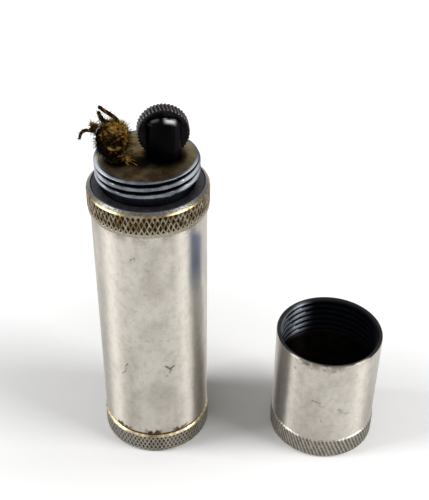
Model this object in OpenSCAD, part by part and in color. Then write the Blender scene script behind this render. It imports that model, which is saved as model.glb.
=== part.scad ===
// Cylindrical petrol lighter with a screw cap that stands beside it, mouth up.
// The origin is the centre of the base's flat face, with +Z up.
// The wick is on the -X side of the top plate and the striker wheel on the +X side.

/* [Case] */
// Outer diameter of the drawn tube
tube_d = 19; // [18.4:0.1:21]
// Wall of the drawn tube
tube_wall = 0.7; // [0.5:0.05:0.9]
// Height of the collar's top edge above the base face
case_h = 53.46; // [46:0.1:62]
// How far the collar's knurl stands out of the tube
collar_proud = 0.43; // [0.35:0.01:0.8]
// Height of the collar
collar_h = 4.46; // [3.6:0.02:6]
// Height of the collar's lip above the end of the tube
collar_lip_h = 1.06; // [0.9:0.02:1.4]
// How far the collar's lip reaches in past the tube's outside
collar_lip_in = 0.36; // [0.25:0.01:0.45]
// Height of the bevel round the collar's mouth
collar_bevel_h = 0.5; // [0.3:0.02:0.7]
// Chamfer of the collar's outer edge
collar_chamfer = 0.16; // [0.05:0.01:0.2]
// Height of the plain band under the collar's knurl
collar_land_h = 0.65; // [0.3:0.05:1]

/* [Base] */
// How far the base's knurl stands out of the tube
base_proud = 0.17; // [0.05:0.01:0.5]
// Height of the knurled base
base_h = 4.12; // [3.2:0.02:6]
// Thickness of the base's floor
base_floor = 1.6; // [1:0.1:2.4]
// Chamfer of the base's two outer edges
base_chamfer = 0.35; // [0.2:0.05:0.5]
// Wall of the threaded ring in the foot of the tube
bush_wall = 1.09; // [0.7:0.01:1.5]
// Length of the base's screw above its shoulder
base_screw_h = 4.9; // [3.5:0.1:5.2]
// Wall of the base's hollow screw
base_screw_wall = 1.2; // [0.8:0.1:1.6]
// Thickness of the washer on the base's shoulder
base_gasket_t = 0.4; // [0.3:0.05:0.8]
// How far the washer's edge lies inside the tube's outside
base_gasket_inset = 0.2; // [0.1:0.05:0.4]
// Length of the threaded ring in the foot of the tube
bush_h = 5; // [4.6:0.1:7]

/* [Head] */
// How far the neck's thread lies inside the tube's outside
neck_inset = 1.1; // [1:0.05:1.6]
// Height of the top plate above the collar
neck_h = 4.6; // [4:0.05:6]
// Length of the thread on the neck
thread_h = 3.1; // [2:0.05:3.4]
// Depth of the relief groove under the thread
relief_depth = 0.85; // [0.5:0.05:1]
// Thickness of the top plate
plate_t = 1.6; // [1:0.1:2]
// Wall of the hollow head
head_wall = 0.9; // [0.7:0.05:0.95]
// Thickness of the head's flange, which rests on the end of the tube
head_flange_t = 0.5; // [0.3:0.05:0.6]
// Length of the head's skirt inside the tube
head_skirt_h = 5; // [3:0.1:8]
// Bevel of the top plate's edge
plate_bevel = 0.3; // [0.1:0.05:0.4]
// Thickness of the washer round the foot of the neck
neck_gasket_t = 0.5; // [0.3:0.05:0.6]

/* [Wick] */
// Gap between the wick's guide tube and the inside of the neck
wick_side_gap = 0.22; // [0.1:0.01:0.4]
// Diameter of the rope wick
wick_d = 3.1; // [2.6:0.1:3.2]
// Height of the wick's lower end above the base face
wick_foot_z = 20; // [14:0.5:40]
// Wall of the wick's guide tube
wick_tube_wall = 0.25; // [0.2:0.05:0.3]
// Length of the wick's guide tube
wick_tube_h = 6; // [3:0.1:9]
// How far the guide tube stands above the top plate
wick_tube_proud = 0.2; // [0.1:0.05:0.3]
// Half width of the frayed wick at its widest
tuft_r = 2.3; // [2:0.05:2.4]
// Height of the frayed wick above the top plate
tuft_h = 6.9; // [6:0.1:8]
// Thickness of a charred yarn
yarn_d = 0.56; // [0.4:0.02:0.8]

/* [Striker] */
// Gap between the post's nut and the inside of the neck
post_side_gap = 0.53; // [0.4:0.01:0.7]
// Diameter of the slotted post
post_d = 6.05; // [5.8:0.05:6.2]
// Height of the post above the top plate
post_h = 7.2; // [6.6:0.05:7.5]
// Radius of the post's domed top
post_dome_r = 5.4; // [4:0.1:8]
// Radius of the rounded shoulder under the post's dome
post_shoulder_r = 0.5; // [0.2:0.05:0.8]
// Diameter of the post's threaded foot
post_foot_d = 4.8; // [4.6:0.05:5]
// Width over the flats of the nut under the top plate
nut_flats = 7; // [6.8:0.1:7.2]
// Thickness of the nut under the top plate
nut_t = 1.4; // [1:0.1:2]
// How far the post's foot stands out of its nut
foot_proud = 0.4; // [0.2:0.1:1]
// Diameter over the wheel's teeth
wheel_d = 8.2; // [7.8:0.05:8.4]
// Thickness of the wheel
wheel_t = 2.3; // [2:0.05:2.4]
// Number of teeth round the wheel
wheel_teeth = 43; // [36:1:50]
// Depth of the wheel's teeth
tooth_depth = 0.26; // [0.15:0.01:0.35]
// Lean of a tooth across the wheel, in degrees of turn
tooth_lean = 5; // [0:0.5:8]
// Chamfer of the wheel's rims
wheel_chamfer = 0.2; // [0.1:0.02:0.3]
// Gap between the wheel's teeth and the top plate
wheel_lift = 0.15; // [0.12:0.01:0.3]
// Gap between the wheel and each side of the post's slot
wheel_side_gap = 0.15; // [0.1:0.01:0.25]
// Diameter of the wheel's axle
axle_d = 1.5; // [1.2:0.1:1.8]
// How far each end of the axle lies inside the post
axle_inset = 0.15; // [0.05:0.05:0.3]

/* [Flint] */
// Diameter of the flint
flint_d = 2.4; // [2.2:0.05:2.5]
// Length of the flint
flint_l = 5; // [2:0.1:6]
// Outer diameter of the flint tube
flint_tube_d = 3.4; // [3.2:0.05:3.6]
// Radial clearance of the flint in its tube
flint_fit = 0.1; // [0.05:0.01:0.15]
// Height of the flint tube's lower end above the base face
flint_tube_z = 10; // [9.6:0.1:14]
// Length of the plunger's head
follower_head_h = 1.4; // [1:0.1:2]
// Diameter of the plunger's nib
follower_nib_d = 1.1; // [0.8:0.1:1.2]
// Length of the plunger's nib
follower_nib_h = 2.5; // [1:0.1:4]
// Mean diameter of the spring's coils
spring_d = 1.9; // [1.8:0.02:1.98]
// Diameter of the spring's wire
spring_wire = 0.36; // [0.3:0.01:0.42]
// Number of the spring's coils
spring_coils = 40; // [25:1:42]
// Length of the flint screw's threaded shank
screw_shank_h = 3.2; // [2:0.1:5]
// Diameter of the flint screw's head
screw_head_d = 4.4; // [4:0.1:5]
// Thickness of the flint screw's head
screw_head_h = 1.2; // [1:0.1:1.4]
// Width of the slot in the flint screw's head
screw_slot_w = 0.6; // [0.4:0.1:0.9]
// Thickness of the felt pad over the base
felt_t = 2.5; // [1.5:0.1:4]

/* [Cap] */
// Wall of the cap's tube
cap_wall = 0.92; // [0.8:0.02:1.4]
// Height of the whole cap
cap_h = 22.8; // [20:0.1:26]
// How far the knurl of the cap's closed end stands out of its tube
cap_end_proud = 0.18; // [0.1:0.01:0.4]
// Height of the cap's knurled end
cap_end_h = 4.46; // [3.4:0.02:6]
// Thickness of the cap's closed end
cap_floor = 1.6; // [1:0.1:2.4]
// Length of the end's plug inside the cap's tube
cap_plug_h = 2.2; // [1.4:0.1:4]
// Wall of the end's hollow plug
cap_plug_wall = 1.2; // [0.8:0.1:1.6]
// Chamfer of the knurled end's two edges
cap_chamfer = 0.4; // [0.2:0.05:0.6]
// Bevel of the cap's mouth
cap_mouth_bevel = 0.4; // [0.1:0.05:0.5]
// Distance between the case and the standing cap
cap_gap = 12.48; // [8:0.02:30]
// Bearing of the standing cap, in degrees from +X towards +Y
cap_bearing = -9; // [-40:1:40]

/* [Fits] */
// Radial gap of soldered, pressed and clamped joints
solder_gap = 0.03; // [0.02:0.01:0.05]
// Radial clearance of the base's screw in its ring
screw_fit = 0.08; // [0.03:0.01:0.1]
// Radial clearance of the cap's bore over the neck
cap_fit = 0.1; // [0.06:0.01:0.12]
// Radial clearance of the wheel on its axle
axle_fit = 0.04; // [0.02:0.01:0.06]
// Radial clearance of the flint screw in its tube
flint_screw_fit = 0.05; // [0.03:0.01:0.08]
// Gap between faces of pieces that move apart
seat_gap = 0.05; // [0.03:0.01:0.08]
// Gap between soft packing and the pieces round it
soft_gap = 0.1; // [0.05:0.01:0.2]

/* [Hidden] */
$fn = 96;

// Radii of the case
tube_r = tube_d / 2;
bore_r = tube_r - tube_wall;
inside_r = bore_r - solder_gap;
packing_r = bore_r - soft_gap;
mouth_r = tube_r - collar_lip_in;
flange_r = mouth_r - solder_gap;
base_screw_r = inside_r - bush_wall - screw_fit;

// How far a knurl stands out of the plain metal beside it
knurl_proud = 0.08;
// Size of the small flats that break sharp edges
edge_break = 0.1;
// Extra reach of a cutting shape past what it cuts
past = 1;

// Heights of the case, from the base face up
tube_z = base_h + base_gasket_t + 2 * seat_gap;
bush_top_z = tube_z + bush_h;
tube_top_z = case_h - collar_lip_h;
flange_z = tube_top_z + head_flange_t;
skirt_z = tube_top_z - head_skirt_h;
plate_z = case_h + neck_h;
plate_under_z = plate_z - plate_t;
thread_z = plate_z - thread_h;
felt_top_z = bush_top_z + felt_t;

// Head
neck_r = tube_r - neck_inset;
relief_r = neck_r - relief_depth;
neck_bore_r = relief_r - head_wall;
skirt_bore_r = inside_r - head_wall;

// Wick
wick_r = wick_d / 2;
wick_bore_r = wick_r + solder_gap;
wick_tube_r = wick_bore_r + wick_tube_wall;
wick_x = neck_bore_r - wick_side_gap - wick_tube_r;

// Striker
post_r = post_d / 2;
foot_r = post_foot_d / 2;
foot_h = plate_t + nut_t + foot_proud;
post_x = neck_bore_r - post_side_gap - nut_flats / 2;
slot_w = wheel_t + 2 * wheel_side_gap;
wheel_r = wheel_d / 2;
wheel_z = plate_z + wheel_lift + wheel_r;
axle_r = axle_d / 2;
axle_l = post_d - 2 * axle_inset;

// Flint and what presses it
flint_r = flint_d / 2;
flint_bore_r = flint_r + flint_fit;
flint_tube_r = flint_tube_d / 2;
flint_top_z = plate_z + wheel_lift - seat_gap;
flint_z = flint_top_z - flint_l;
follower_z = flint_z - follower_head_h;
screw_head_r = screw_head_d / 2;
screw_head_z = flint_tube_z - seat_gap - screw_head_h;
screw_top_z = flint_tube_z + screw_shank_h;
screw_shank_r = flint_bore_r - flint_screw_fit;
spring_lo_z = screw_top_z + seat_gap;
spring_hi_z = follower_z - seat_gap;

// Cap
cap_bore_r = neck_r + cap_fit;
cap_r = cap_bore_r + cap_wall;
cap_plug_r = cap_bore_r - solder_gap;
cap_distance = tube_r + cap_gap + cap_r;
cap_x = cap_distance * cos(cap_bearing);
cap_y = cap_distance * sin(cap_bearing);

// A turned solid from a half profile of [radius, height] points
module turned(profile) {
    rotate_extrude() polygon(profile);
}

// A plain round hole along Z between two heights
module hole(r, z_lo, z_hi) {
    translate([0, 0, z_lo]) cylinder(r = r, h = z_hi - z_lo);
}

// A half profile of a ring between two radii and two heights
function ring_profile(r_in, r_out, z_lo, z_hi) =
    [[r_in, z_lo], [r_out, z_lo], [r_out, z_hi], [r_in, z_hi]];

module tank_tube() {
    color("silver")
    turned(ring_profile(bore_r, tube_r, tube_z, tube_top_z));
}

// Sleeved over the tube below, with a bevelled lip over the tube's end
module collar() {
    rim_r = tube_r + collar_proud;
    land_r = rim_r - knurl_proud;
    low_z = case_h - collar_h;
    sleeve_r = tube_r + solder_gap;
    shoulder_z = case_h - collar_bevel_h;
    color("tan")
    turned([
        [sleeve_r, low_z], [land_r - edge_break, low_z], [land_r, low_z + edge_break],
        [land_r, low_z + collar_land_h], [rim_r, low_z + collar_land_h + knurl_proud],
        [rim_r, shoulder_z - collar_chamfer], [rim_r - collar_chamfer, shoulder_z],
        [mouth_r + edge_break, case_h], [mouth_r, case_h - edge_break],
        [mouth_r, tube_top_z + solder_gap], [sleeve_r, tube_top_z + solder_gap]
    ]);
}

// Threaded neck, top plate, flange on the tube's end and skirt inside the tube
module burner_head() {
    color("slategray")
    difference() {
        turned([
            [0, skirt_z], [inside_r, skirt_z], [inside_r, tube_top_z], [flange_r, tube_top_z],
            [flange_r, flange_z], [relief_r, flange_z], [relief_r, thread_z],
            [neck_r, thread_z + plate_bevel], [neck_r, plate_z - plate_bevel],
            [neck_r - plate_bevel, plate_z], [0, plate_z]
        ]);
        hole(skirt_bore_r, skirt_z - past, tube_top_z);
        hole(neck_bore_r, skirt_z - past, plate_under_z);
        translate([-wick_x, 0, 0]) hole(wick_tube_r + solder_gap, skirt_z, plate_z + past);
        translate([post_x, 0, 0]) hole(foot_r + solder_gap, skirt_z, plate_z + past);
    }
}

module neck_gasket() {
    color([0.08, 0.08, 0.09])
    turned(ring_profile(relief_r + solder_gap, flange_r, flange_z, flange_z + neck_gasket_t));
}

module wick_tube() {
    color("goldenrod")
    translate([-wick_x, 0, plate_z + wick_tube_proud - wick_tube_h])
    difference() {
        cylinder(r = wick_tube_r, h = wick_tube_h);
        hole(wick_bore_r, -past, wick_tube_h + past);
    }
}

// One stretch of soft yarn or rope between two round ends
module stretch(from, to, r_from, r_to) {
    hull() {
        translate(from) sphere(r = r_from, $fn = 14);
        translate(to) sphere(r = r_to, $fn = 14);
    }
}

// A loose yarn through a short list of places
module yarn(places) {
    for (i = [0 : len(places) - 2])
        stretch(places[i], places[i + 1], yarn_d / 2, yarn_d / 2);
}

// Rope wick in its guide, frayed to a lump above the top plate, with charred yarns.
// Places are tenths of the tuft's height from the wick's axis at the top of its guide.
module wick() {
    tenth = tuft_h / 10;
    swell = [tuft_r * 0.74, tuft_r, tuft_r * 0.96, tuft_r * 0.6];
    lump = tenth * [[-0.3, 0, 1.2], [-1, 0, 3.9], [-0.9, 0, 6.2], [0.1, 0.1, 8]];
    curl = tenth * [[-0.6, 0, 9], [-1.9, -0.1, 11.2], [-3, -0.3, 12.2], [-3.8, -0.3, 10.9],
        [-2.6, 0, 8.4]];
    tail = tenth * [[-2.9, 0, 7], [-4.8, -0.4, 7.1], [-5.5, -0.4, 5.9], [-7, -0.6, 4.9]];
    fringe = tenth * [[1.3, -0.7, 2.3], [2.5, -1, 1.4], [2.8, -1.2, 0.6]];
    guide_top_z = plate_z + wick_tube_proud;
    color("saddlebrown")
    union() {
        translate([-wick_x, 0, wick_foot_z])
        cylinder(r = wick_r, h = guide_top_z + tenth - wick_foot_z, $fn = 24);
        translate([-wick_x, 0, guide_top_z]) {
            for (i = [0 : len(lump) - 2])
                stretch(lump[i], lump[i + 1], swell[i], swell[i + 1]);
            yarn(curl);
            yarn(tail);
            yarn(fringe);
        }
    }
}

// Points on an arc round a centre, between two angles in degrees
function arc_points(centre, r, from, to, steps) =
    [for (i = [0 : steps])
        let (a = from + (to - from) * i / steps) centre + r * [cos(a), sin(a)]];

// Slotted post with a threaded foot, bored for the flint tube.
// Its low dome runs into the wall over a rounded shoulder.
module wheel_post() {
    dome_centre = [0, post_h - post_dome_r];
    shoulder_in = post_r - post_shoulder_r;
    shoulder_up = sqrt(pow(post_dome_r - post_shoulder_r, 2) - pow(shoulder_in, 2));
    shoulder_centre = dome_centre + [shoulder_in, shoulder_up];
    meet = atan2(shoulder_up, shoulder_in);
    color([0.1, 0.1, 0.11])
    translate([post_x, 0, plate_z])
    difference() {
        turned(concat(
            [[0, -foot_h], [foot_r, -foot_h], [foot_r, 0], [post_r, 0]],
            arc_points(shoulder_centre, post_shoulder_r, 0, meet, 4),
            arc_points(dome_centre, post_dome_r, meet + (90 - meet) / 8, 90, 7)
        ));
        translate([-post_d, -slot_w / 2, 0]) cube([2 * post_d, slot_w, post_h + past]);
        hole(flint_tube_r + solder_gap, -foot_h - past, past);
        translate([0, 0, wheel_z - plate_z]) rotate([90, 0, 0])
        cylinder(r = axle_r + solder_gap, h = 2 * post_d, center = true);
    }
}

module post_nut() {
    color("darkkhaki")
    translate([post_x, 0, plate_under_z - nut_t])
    difference() {
        rotate([0, 0, 30]) cylinder(d = nut_flats / cos(30), h = nut_t, $fn = 6);
        hole(foot_r + solder_gap, -past, nut_t + past);
    }
}

module wheel_axle() {
    color("dimgray")
    translate([post_x, 0, wheel_z]) rotate([90, 0, 0])
    cylinder(r = axle_r, h = axle_l, center = true);
}

module flint_tube() {
    color("goldenrod")
    translate([post_x, 0, 0])
    turned(ring_profile(flint_bore_r, flint_tube_r, flint_tube_z, plate_z));
}

module wadding() {
    color("whitesmoke")
    difference() {
        hole(packing_r, felt_top_z, skirt_z - soft_gap);
        translate([post_x, 0, 0]) hole(flint_tube_r + soft_gap, felt_top_z - past, skirt_z);
        translate([-wick_x, 0, 0]) hole(wick_r + soft_gap, wick_foot_z - soft_gap, skirt_z);
    }
}

module felt_pad() {
    color("gray")
    difference() {
        hole(packing_r, bush_top_z, felt_top_z - soft_gap);
        translate([post_x, 0, 0]) hole(screw_head_r + soft_gap, bush_top_z - past, felt_top_z);
    }
}

// Soldered in the foot of the tube, threaded inside for the base
module base_bush() {
    color("goldenrod")
    turned(ring_profile(inside_r - bush_wall, inside_r, tube_z, bush_top_z));
}

// One tooth of the wheel as outline points, from one root to the next
function tooth(i) =
    let (pitch = 360 / wheel_teeth, root = wheel_r - tooth_depth)
    [for (p = [[0, root], [0.14, root], [0.5, wheel_r], [0.66, wheel_r]])
        p[1] * [cos((i + p[0]) * pitch), sin((i + p[0]) * pitch)]];

// Cut from a blank that stands a little outside the teeth, so only its chamfers trim them
module striker_wheel() {
    side_r = wheel_r - wheel_chamfer;
    blank_r = wheel_r + wheel_chamfer / 10;
    rim_z = wheel_t / 2 - wheel_chamfer;
    color([0.2, 0.19, 0.18])
    translate([post_x, 0, wheel_z]) rotate([90, 0, 0])
    difference() {
        intersection() {
            linear_extrude(height = wheel_t, center = true, twist = tooth_lean, slices = 2)
            polygon([for (i = [0 : wheel_teeth - 1]) each tooth(i)]);
            turned([
                [0, -wheel_t / 2], [side_r, -wheel_t / 2], [blank_r, -rim_z],
                [blank_r, rim_z], [side_r, wheel_t / 2], [0, wheel_t / 2]
            ]);
        }
        cylinder(r = axle_r + axle_fit, h = wheel_t + past, center = true);
    }
}

module flint() {
    color("gray")
    translate([post_x, 0, 0]) hole(flint_r, flint_z, flint_top_z);
}

module flint_follower() {
    color("goldenrod")
    translate([post_x, 0, 0])
    turned([
        [0, follower_z - follower_nib_h], [follower_nib_d / 2, follower_z - follower_nib_h],
        [follower_nib_d / 2, follower_z], [flint_r, follower_z], [flint_r, flint_z], [0, flint_z]
    ]);
}

// Middle line of the spring: a straight stub, the coils, and a straight stub
rings_per_coil = 8;
coil_steps = spring_coils * rings_per_coil;
coil_lo_z = spring_lo_z + spring_wire;
coil_rise = spring_hi_z - spring_lo_z - 2 * spring_wire;
function coil_turn(i) = 360 * min(max(i - 1, 0), coil_steps) / rings_per_coil;
function coil_z(i) =
    i == 0 ? spring_lo_z :
    i == coil_steps + 2 ? spring_hi_z :
    coil_lo_z + coil_rise * (i - 1) / coil_steps;
function coil_out(i) = [cos(coil_turn(i)), sin(coil_turn(i)), 0];
function coil_at(i) = spring_d / 2 * coil_out(i) + [0, 0, coil_z(i)];
coil_path = [for (i = [0 : coil_steps + 2]) coil_at(i)];

// Least gap between the wire and itself, a coil apart
coil_gap = min([for (i = [1 : coil_steps + 1 - rings_per_coil])
    norm(coil_path[i + rings_per_coil] - coil_path[i])]) - spring_wire;
echo(least_gap_of_spring = coil_gap);

function unit(v) = v / norm(v);
function path_way(path, i) =
    unit(path[min(i + 1, len(path) - 1)] - path[max(i - 1, 0)]);

// Ring of points round a place on a path, with its first point facing out
function wire_ring(place, way, out, r, sides) =
    let (across = unit(out - (out * way) * way), up = cross(way, across))
    [for (k = [0 : sides - 1])
        place + r * (cos(360 * k / sides) * across + sin(360 * k / sides) * up)];

// One unbroken wire swept along the spring's middle line
module flint_spring() {
    sides = 6;
    rings = len(coil_path);
    points = [for (i = [0 : rings - 1])
        each wire_ring(coil_path[i], path_way(coil_path, i), coil_out(i), spring_wire / 2, sides)];
    walls = [for (i = [0 : rings - 2], k = [0 : sides - 1])
        let (a = i * sides + k, b = i * sides + (k + 1) % sides)
        each [[a, a + sides, b], [b, a + sides, b + sides]]];
    low_end = [for (k = [0 : sides - 1]) k];
    high_end = [for (k = [sides - 1 : -1 : 0]) (rings - 1) * sides + k];
    color("lightsteelblue")
    translate([post_x, 0, 0])
    polyhedron(points = points, faces = concat([low_end], walls, [high_end]));
}

module flint_screw() {
    color("goldenrod")
    translate([post_x, 0, 0])
    difference() {
        turned([
            [0, screw_head_z], [screw_head_r - edge_break, screw_head_z],
            [screw_head_r, screw_head_z + edge_break], [screw_head_r, screw_head_z + screw_head_h],
            [screw_shank_r, screw_head_z + screw_head_h],
            [screw_shank_r, screw_top_z], [0, screw_top_z]
        ]);
        translate([-screw_head_d, -screw_slot_w / 2, screw_head_z - past])
        cube([2 * screw_head_d, screw_slot_w, past + screw_head_h / 2]);
    }
}

module base_gasket() {
    low_z = base_h + seat_gap;
    color([0.15, 0.12, 0.1])
    turned(ring_profile(inside_r - bush_wall, tube_r - base_gasket_inset,
        low_z, low_z + base_gasket_t));
}

// Turned cup: knurled rim, hollow screw and flat floor
module base_cap() {
    rim_r = tube_r + base_proud;
    hollow_r = base_screw_r - base_screw_wall;
    screw_top = base_h + base_screw_h;
    color("silver")
    turned([
        [0, 0], [rim_r - base_chamfer, 0], [rim_r, base_chamfer],
        [rim_r, base_h - base_chamfer], [rim_r - base_chamfer, base_h], [base_screw_r, base_h],
        [base_screw_r, screw_top - base_chamfer], [base_screw_r - base_chamfer, screw_top],
        [hollow_r, screw_top],
        [hollow_r, base_floor], [0, base_floor]
    ]);
}

module cap_tube() {
    color("silver")
    translate([cap_x, cap_y, 0])
    turned([
        [cap_bore_r, cap_end_h], [cap_r, cap_end_h], [cap_r, cap_h - edge_break],
        [cap_r - edge_break, cap_h], [cap_bore_r + cap_mouth_bevel, cap_h],
        [cap_bore_r, cap_h - cap_mouth_bevel]
    ]);
}

// Knurled closed end with a hollow plug that fits inside the cap's tube
module cap_end() {
    rim_r = cap_r + cap_end_proud;
    hollow_r = cap_plug_r - cap_plug_wall;
    plug_top = cap_end_h + cap_plug_h;
    color("silver")
    translate([cap_x, cap_y, 0])
    turned([
        [0, 0], [rim_r - cap_chamfer, 0], [rim_r, cap_chamfer],
        [rim_r, cap_end_h - cap_chamfer], [rim_r - cap_chamfer, cap_end_h],
        [cap_plug_r, cap_end_h], [cap_plug_r, plug_top], [hollow_r, plug_top],
        [hollow_r, cap_floor], [0, cap_floor]
    ]);
}

tank_tube();
collar();
burner_head();
neck_gasket();
wick_tube();
wick();
wheel_post();
post_nut();
wheel_axle();
flint_tube();
wadding();
felt_pad();
base_bush();
striker_wheel();
flint();
flint_follower();
flint_spring();
flint_screw();
base_gasket();
base_cap();
cap_tube();
cap_end();
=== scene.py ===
import math
import random

import bpy
import numpy as np
from mathutils import Matrix, Vector


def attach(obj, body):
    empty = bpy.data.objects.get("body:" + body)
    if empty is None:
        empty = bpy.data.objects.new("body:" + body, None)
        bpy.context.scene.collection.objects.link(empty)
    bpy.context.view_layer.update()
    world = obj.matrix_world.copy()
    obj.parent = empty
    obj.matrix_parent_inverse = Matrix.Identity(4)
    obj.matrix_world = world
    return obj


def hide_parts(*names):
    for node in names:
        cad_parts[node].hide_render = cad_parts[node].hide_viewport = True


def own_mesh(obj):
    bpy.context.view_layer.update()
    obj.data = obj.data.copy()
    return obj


# Looks for a cylindrical petrol lighter whose screw cap stands beside it.
# Sizes are in mm, as in the part, and become metres when a mesh is made.

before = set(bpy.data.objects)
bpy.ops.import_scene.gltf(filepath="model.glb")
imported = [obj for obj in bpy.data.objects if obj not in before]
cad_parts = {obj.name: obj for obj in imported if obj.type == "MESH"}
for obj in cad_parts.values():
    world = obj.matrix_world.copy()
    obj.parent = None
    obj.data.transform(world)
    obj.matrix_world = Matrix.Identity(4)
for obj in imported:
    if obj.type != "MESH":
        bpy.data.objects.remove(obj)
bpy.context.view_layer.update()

MM = 0.001
TURN = 2 * math.pi

# A limit beyond all sizes, the mesh's step on a knurled wall, and the faces of a block
FAR = 99
KNURL_STEP = 0.085
BLOCK_FACES = [[0, 1, 3, 2], [4, 6, 7, 5], [0, 4, 5, 1], [2, 3, 7, 6], [0, 2, 6, 4], [1, 5, 7, 3]]

# Case
TUBE_R = 9.5
TUBE_BORE_R = 8.8
TUBE_LO = 4.62
TUBE_HI = 52.4
CASE_H = 53.46
COLLAR_R = 9.93
COLLAR_LAND_R = 9.85
COLLAR_SHOULDER_R = 9.77
COLLAR_MOUTH_R = 9.14
COLLAR_RIDGES = 74
COLLAR_LO = 49
KNURL_LO = 49.68
KNURL_HI = 52.8
SLEEVE_R = 9.53

# Head
NECK_R = 8.4
RELIEF_R = 7.55
FLANGE_R = 9.11
FLANGE_Z = 52.9
THREAD_Z = 54.96
PLATE_Z = 58.06
PLATE_T = 1.6
NECK_BORE_R = 6.65
SKIRT_R = 8.77
SKIRT_BORE_R = 7.87
SKIRT_Z = 47.4
SCREW_PITCH = 1.27
CREST_Z = 54.67

# Wick
WICK_X = -4.6
WICK_R = 1.55
WICK_LO = 20
GUIDE_TOP = 58.26
GUIDE_R = 1.83

# Striker
POST_X = 2.62
POST_R = 3.025
POST_H = 7.2
DOME_R = 5.4
SHOULDER_R = 0.5
FOOT_R = 2.4
FOOT_H = 3.4
SLOT_W = 2.6
WHEEL_R = 4.1
WHEEL_T = 2.3
WHEEL_TEETH = 43
TOOTH_DEPTH = 0.26
TOOTH_LEAN = 5
WHEEL_Z = 62.31
AXLE_R = 0.75

# Flint and base
FLINT_TUBE_R = 1.7
SCREW_HEAD_R = 2.2
SCREW_HEAD_LO = 8.75
SCREW_HEAD_H = 1.2
SCREW_TOP = 13.2
SCREW_R = 1.25
SPRING_LO = 13.25
SPRING_HI = 51.71
SPRING_R = 0.95
SPRING_WIRE_R = 0.18
SPRING_COILS = 40
BUSH_BORE_R = 7.68
BUSH_HI = 9.62
FELT_HI = 12.02
PACKING_R = 8.7
WADDING_LO = 12.12
WADDING_HI = 47.3
GASKET_LO = 4.17
GASKET_HI = 4.57
GASKET_R = 9.3
BASE_R = 9.67
BASE_H = 4.12
BASE_FLOOR = 1.6
BASE_CHAMFER = 0.35
BASE_RIDGES = 79
BASE_SCREW_R = 7.6
BASE_SCREW_TOP = 9.02
BASE_HOLLOW_R = 6.4

# Cap
CAP_AT = (31.013, -4.912)
CAP_R = 9.42
CAP_BORE_R = 8.5
CAP_BEVEL = 0.4
CAP_H = 22.8
CAP_END_R = 9.6
CAP_END_H = 4.46
CAP_CHAMFER = 0.4
CAP_RIDGES = 84
CAP_CREST_Z = 22.1
CAP_PLUG_R = 8.47
CAP_PLUG_TOP = 6.66
CAP_HOLLOW_R = 7.27
CAP_FLOOR = 1.6

# Metal colours: plate in two tones, bare brass on edges, brown and black dirt
PLATE_LIGHT = (0.56, 0.527, 0.472)
PLATE_DULL = (0.47, 0.437, 0.387)
BARE_BRASS = (0.66, 0.54, 0.28)
BROWN_DIRT = (0.11, 0.052, 0.016)
BLACK_DIRT = (0.03, 0.026, 0.022)


# Curves and profiles

def tri(t):
    """Triangle wave: 0 at whole numbers, 1 halfway between them."""
    return 1 - np.abs(2 * (t - np.floor(t)) - 1)


def smooth(value, lo, hi):
    """0 below lo, 1 above hi, with a soft rise between."""
    t = np.clip((value - lo) / (hi - lo), 0, 1)
    return t * t * (3 - 2 * t)


def eased(points, size):
    """A closed profile with its corners rounded by about size. Points on the axis stay sharp."""
    out = []
    for i, p in enumerate(points):
        if p[0] == 0:
            out.append(p)
            continue
        ends = []
        for q in (points[i - 1], points[(i + 1) % len(points)]):
            share = min(size / math.dist(p, q), 0.4)
            ends.append([p[k] + (q[k] - p[k]) * share for k in (0, 1)])
        for t in (0, 0.33, 0.67, 1):
            out.append([(1 - t) ** 2 * ends[0][k] + 2 * t * (1 - t) * p[k] + t * t * ends[1][k]
                        for k in (0, 1)])
    return out


def fine(points, step, r=(-1, FAR), z=(-FAR, FAR)):
    """A closed profile whose stretches in a range of radii and heights are split into steps."""
    out = []
    for i, p in enumerate(points):
        q = points[(i + 1) % len(points)]
        in_r = r[0] < min(p[0], q[0]) and max(p[0], q[0]) < r[1]
        in_z = z[0] < min(p[1], q[1]) and max(p[1], q[1]) < z[1]
        parts = max(1, math.ceil(math.dist(p, q) / step)) if in_r and in_z else 1
        out += [[p[n] + (q[n] - p[n]) * k / parts for n in (0, 1)] for k in range(parts)]
    return out


def outside(size):
    """The range of radii or heights from about size upwards."""
    return size - 0.02, FAR


def ring(r_in, r_out, lo, hi):
    """A closed profile with four corners."""
    return [[r_in, lo], [r_out, lo], [r_out, hi], [r_in, hi]]


def disc(r, height, chamfer):
    """The outer part of a profile: a solid disc with both its edges chamfered."""
    return [[0, 0], [r - chamfer, 0], [r, chamfer], [r, height - chamfer], [r - chamfer, height]]


def arc_points(centre, r, start, end, steps):
    return [[centre[0] + r * math.cos(a), centre[1] + r * math.sin(a)]
            for a in np.linspace(start, end, steps)]


def full_circle(count):
    return np.linspace(0, TURN, count, endpoint=False)


def bearings(lo, hi, dense, coarse):
    """Angles all round, closer together between two bearings given in degrees."""
    return np.radians(np.concatenate([np.arange(lo, hi, dense), np.arange(hi, lo + 360, coarse)]))


def curve_through(places, count):
    """Evenly numbered points on a smooth curve through a few places."""
    p = np.asarray(places, float)
    p = np.vstack([2 * p[0] - p[1], p, 2 * p[-1] - p[-2]])
    out = []
    for s in np.linspace(0, len(places) - 1, count):
        i = min(int(s), len(places) - 2)
        t = s - i
        a, b, c, d = p[i:i + 4]
        out.append(0.5 * (2 * b + (c - a) * t + (2 * a - 5 * b + 4 * c - d) * t * t
                          + (3 * b - a - 3 * c + d) * t ** 3))
    return np.array(out)


def along(path):
    """The unit direction of a path at each of its points."""
    way = np.gradient(path, axis=0)
    return way / np.linalg.norm(way, axis=1, keepdims=True)


# Meshes

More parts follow.
